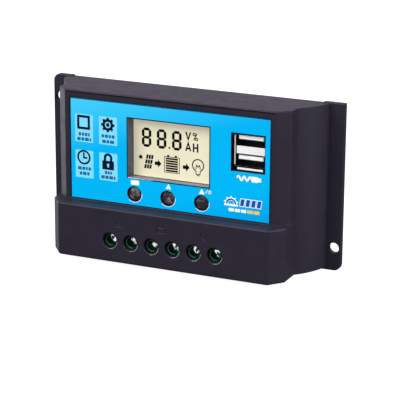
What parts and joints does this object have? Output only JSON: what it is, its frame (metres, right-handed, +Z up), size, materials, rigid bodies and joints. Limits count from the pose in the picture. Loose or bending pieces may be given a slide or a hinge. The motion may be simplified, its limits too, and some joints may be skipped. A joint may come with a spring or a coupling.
{
  "type": "solar charge controller",
  "caption": "Wall-mounted solar charge controller with display, push buttons, double charging socket and screw terminals.",
  "frame": {"origin": "centre of the rear mounting plane, midway between the two flange holes", "axes": "+X to the right when facing the display, +Y into the wall, +Z up; the front faces -Y"},
  "size_m": [0.1334, 0.035, 0.0713],
  "materials": {
    "case_plastic": "fine satin moulded texture",
    "label_print": "printed satin overlay",
    "back_aluminium": "rolled, lightly brushed",
    "zinc_screws": "zinc plated",
    "lcd_film": "satin polarising film",
    "lcd_glass": "clear",
    "light_guide": "milky white",
    "holder_plastic": "white moulded",
    "board_laminate": "green solder mask",
    "socket_steel": "nickel plated sheet",
    "socket_plastic": "white moulded",
    "contact_gold": "gold plated",
    "terminal_green": "dark green moulded",
    "terminal_brass": "tin plated brass bar",
    "clamp_steel": "zinc plated steel",
    "button_black": "dark gloss",
    "switch_plastic": "black moulded",
    "switch_steel": "stainless sheet",
    "chip_epoxy": "black epoxy",
    "tinned_leads": "tinned",
    "pad_silicone": "grey silicone",
    "can_aluminium": "drawn can",
    "seal_rubber": "black rubber",
    "ferrite": "dark sintered ferrite",
    "winding_copper": "enamelled copper",
    "chip_ceramic": "fired ceramic",
    "led_plastic": "clear yellowish"
  },
  "bodies": {
    "controller": {"front_case": "case_plastic", "back_plate": "back_aluminium", "back_plate_screws": "zinc_screws", "front_label": "label_print", "lcd_front_film": "lcd_film", "lcd_front_glass": "lcd_glass", "lcd_rear_glass": "lcd_glass", "lcd_light_guide": "light_guide", "lcd_holder": "holder_plastic", "lcd_pins": "tinned_leads", "main_pcb": "board_laminate", "pcb_screws": "zinc_screws", "usb_shell": "socket_steel", "usb_insulator": "socket_plastic", "usb_contacts": "contact_gold", "terminal_block": "terminal_green", "terminal_bars": "terminal_brass", "switch_bodies": "switch_plastic", "switch_covers": "switch_steel", "switch_domes": "switch_steel", "switch_pins": "tinned_leads", "mosfet_bodies": "chip_epoxy", "mosfet_tabs": "tinned_leads", "mosfet_leads": "tinned_leads", "thermal_pad": "pad_silicone", "capacitor_cans": "can_aluminium", "capacitor_seals": "seal_rubber", "capacitor_leads": "tinned_leads", "inductor_core": "ferrite", "inductor_winding": "winding_copper", "power_diodes": "chip_epoxy", "shunt_resistor": "tinned_leads", "mcu_body": "chip_epoxy", "mcu_leads": "tinned_leads", "regulator_chip": "chip_epoxy", "driver_chips": "chip_epoxy", "chip_resistors": "chip_epoxy", "chip_capacitors": "chip_ceramic", "backlight_leds": "led_plastic"},
    "terminal_screw_1": {"clamp_screw_1": "zinc_screws"},
    "terminal_cage_1": {"clamp_cage_1": "clamp_steel"},
    "terminal_screw_2": {"clamp_screw_2": "zinc_screws"},
    "terminal_cage_2": {"clamp_cage_2": "clamp_steel"},
    "terminal_screw_3": {"clamp_screw_3": "zinc_screws"},
    "terminal_cage_3": {"clamp_cage_3": "clamp_steel"},
    "terminal_screw_4": {"clamp_screw_4": "zinc_screws"},
    "terminal_cage_4": {"clamp_cage_4": "clamp_steel"},
    "terminal_screw_5": {"clamp_screw_5": "zinc_screws"},
    "terminal_cage_5": {"clamp_cage_5": "clamp_steel"},
    "terminal_screw_6": {"clamp_screw_6": "zinc_screws"},
    "terminal_cage_6": {"clamp_cage_6": "clamp_steel"},
    "menu_button": {"menu_button_cap": "button_black", "menu_plunger": "switch_plastic"},
    "up_button": {"up_button_cap": "button_black", "up_plunger": "switch_plastic"},
    "down_button": {"down_button_cap": "button_black", "down_plunger": "switch_plastic"}
  },
  "joints": [
    {"name": "terminal_screw_1_turn", "type": "hinge", "parent": "controller", "child": "terminal_screw_1", "pos_m": [-0.02335, -0.0245, -0.025], "axis": [0, 1, 0], "range_deg": [0, 1260]},
    {"name": "terminal_cage_1_lift", "type": "slide", "parent": "controller", "child": "terminal_cage_1", "axis": [0, -1, 0], "range_m": [0, 0.00245]},
    {"name": "terminal_screw_2_turn", "type": "hinge", "parent": "controller", "child": "terminal_screw_2", "pos_m": [-0.01385, -0.0245, -0.025], "axis": [0, 1, 0], "range_deg": [0, 1260]},
    {"name": "terminal_cage_2_lift", "type": "slide", "parent": "controller", "child": "terminal_cage_2", "axis": [0, -1, 0], "range_m": [0, 0.00245]},
    {"name": "terminal_screw_3_turn", "type": "hinge", "parent": "controller", "child": "terminal_screw_3", "pos_m": [-0.00435, -0.0245, -0.025], "axis": [0, 1, 0], "range_deg": [0, 1260]},
    {"name": "terminal_cage_3_lift", "type": "slide", "parent": "controller", "child": "terminal_cage_3", "axis": [0, -1, 0], "range_m": [0, 0.00245]},
    {"name": "terminal_screw_4_turn", "type": "hinge", "parent": "controller", "child": "terminal_screw_4", "pos_m": [0.00515, -0.0245, -0.025], "axis": [0, 1, 0], "range_deg": [0, 1260]},
    {"name": "terminal_cage_4_lift", "type": "slide", "parent": "controller", "child": "terminal_cage_4", "axis": [0, -1, 0], "range_m": [0, 0.00245]},
    {"name": "terminal_screw_5_turn", "type": "hinge", "parent": "controller", "child": "terminal_screw_5", "pos_m": [0.01465, -0.0245, -0.025], "axis": [0, 1, 0], "range_deg": [0, 1260]},
    {"name": "terminal_cage_5_lift", "type": "slide", "parent": "controller", "child": "terminal_cage_5", "axis": [0, -1, 0], "range_m": [0, 0.00245]},
    {"name": "terminal_screw_6_turn", "type": "hinge", "parent": "controller", "child": "terminal_screw_6", "pos_m": [0.02415, -0.0245, -0.025], "axis": [0, 1, 0], "range_deg": [0, 1260]},
    {"name": "terminal_cage_6_lift", "type": "slide", "parent": "controller", "child": "terminal_cage_6", "axis": [0, -1, 0], "range_m": [0, 0.00245]},
    {"name": "menu_button_press", "type": "slide", "parent": "controller", "child": "menu_button", "axis": [0, 1, 0], "range_m": [0, 0.0003], "stiffness_N_per_m": 2000, "springref_m": -0.0003},
    {"name": "up_button_press", "type": "slide", "parent": "controller", "child": "up_button", "axis": [0, 1, 0], "range_m": [0, 0.0003], "stiffness_N_per_m": 2000, "springref_m": -0.0003},
    {"name": "down_button_press", "type": "slide", "parent": "controller", "child": "down_button", "axis": [0, 1, 0], "range_m": [0, 0.0003], "stiffness_N_per_m": 2000, "springref_m": -0.0003}
  ],
  "couplings": [
    {"joint": "terminal_screw_1_turn", "follows": "terminal_cage_1_lift", "rad_per_m": 8976},
    {"joint": "terminal_screw_2_turn", "follows": "terminal_cage_2_lift", "rad_per_m": 8976},
    {"joint": "terminal_screw_3_turn", "follows": "terminal_cage_3_lift", "rad_per_m": 8976},
    {"joint": "terminal_screw_4_turn", "follows": "terminal_cage_4_lift", "rad_per_m": 8976},
    {"joint": "terminal_screw_5_turn", "follows": "terminal_cage_5_lift", "rad_per_m": 8976},
    {"joint": "terminal_screw_6_turn", "follows": "terminal_cage_6_lift", "rad_per_m": 8976}
  ]
}
